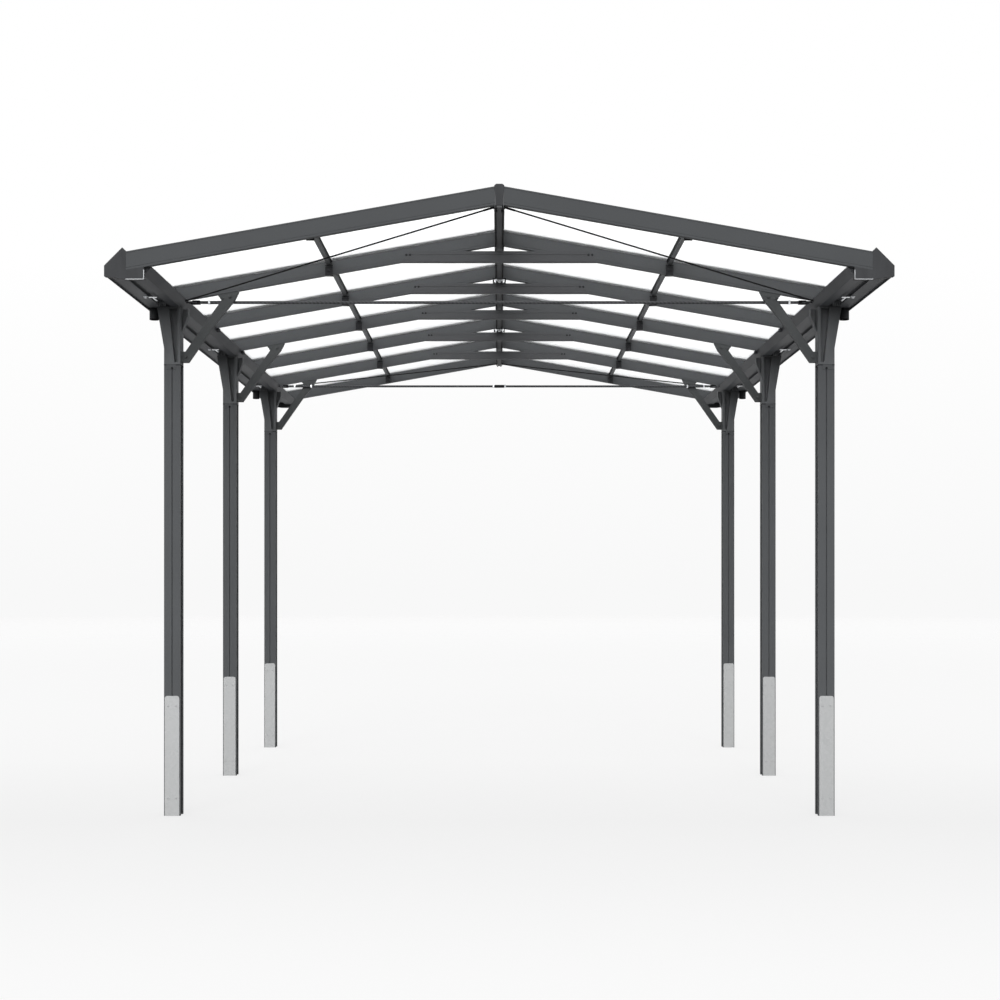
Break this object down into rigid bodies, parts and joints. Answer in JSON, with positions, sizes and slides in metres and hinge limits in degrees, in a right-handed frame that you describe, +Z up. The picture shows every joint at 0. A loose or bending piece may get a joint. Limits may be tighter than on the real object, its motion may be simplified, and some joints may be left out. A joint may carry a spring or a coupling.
{
  "type": "open gable-roofed carport",
  "caption": "Open carport with a shallow gable roof of translucent sheets on slim dark posts, with gutter beams, knee braces and tie rods.",
  "frame": {"origin": "on the floor, in the middle between the six posts", "axes": "+Z up, +Y along the carport from the front gable to the rear gable, +X to the right as seen from the front"},
  "size_m": [3.612, 5.036, 3.0077],
  "materials": {
    "coated_aluminium_posts": "satin anthracite powder coat",
    "coated_aluminium_rafters": "satin anthracite powder coat",
    "coated_aluminium_collars": "satin anthracite powder coat",
    "coated_aluminium_gutters": "satin anthracite powder coat",
    "coated_aluminium_ridge": "satin anthracite powder coat",
    "coated_aluminium_purlins": "satin anthracite powder coat",
    "coated_steel_braces": "satin anthracite powder coat on steel",
    "moulded_heads": "fine-grained moulding",
    "moulded_caps": "fine-grained moulding",
    "moulded_outlets": "fine-grained moulding",
    "galvanised_steel": "hot-dip galvanised, fine spangle",
    "twin_wall_sheet": "opal twin-wall polycarbonate with fine flutes",
    "black_steel_rod": "black coated rod",
    "steel_wire": "black coated wire rope"
  },
  "bodies": {
    "root": {"front_left_post": "coated_aluminium_posts", "front_left_knee_brace": "coated_steel_braces", "front_right_post": "coated_aluminium_posts", "front_right_knee_brace": "coated_steel_braces", "middle_left_post": "coated_aluminium_posts", "middle_left_knee_brace": "coated_steel_braces", "middle_right_post": "coated_aluminium_posts", "middle_right_knee_brace": "coated_steel_braces", "rear_left_post": "coated_aluminium_posts", "rear_left_knee_brace": "coated_steel_braces", "rear_right_post": "coated_aluminium_posts", "rear_right_knee_brace": "coated_steel_braces", "left_foot_plates": "galvanised_steel", "left_post_heads": "moulded_heads", "left_gutter_beam": "coated_aluminium_gutters", "left_gutter_caps": "moulded_caps", "left_purlins": "coated_aluminium_purlins", "left_roof_sheets": "twin_wall_sheet", "left_glazing_bars": "coated_aluminium_rafters", "right_foot_plates": "galvanised_steel", "right_post_heads": "moulded_heads", "right_gutter_beam": "coated_aluminium_gutters", "right_gutter_caps": "moulded_caps", "right_purlins": "coated_aluminium_purlins", "right_roof_sheets": "twin_wall_sheet", "right_glazing_bars": "coated_aluminium_rafters", "gutter_outlets": "moulded_outlets", "ridge_beam": "coated_aluminium_ridge", "ridge_caps": "moulded_caps", "front_gable_rafters": "coated_aluminium_rafters", "rear_gable_rafters": "coated_aluminium_rafters", "rafters_2": "coated_aluminium_rafters", "collar_2": "coated_aluminium_collars", "rafters_3": "coated_aluminium_rafters", "collar_3": "coated_aluminium_collars", "rafters_4": "coated_aluminium_rafters", "collar_4": "coated_aluminium_collars", "rafters_5": "coated_aluminium_rafters", "collar_5": "coated_aluminium_collars", "rafters_6": "coated_aluminium_rafters", "collar_6": "coated_aluminium_collars", "front_tie_rod": "black_steel_rod", "front_brace_wires": "steel_wire", "rear_tie_rod": "black_steel_rod", "rear_brace_wires": "steel_wire"}
  },
  "joints": []
}
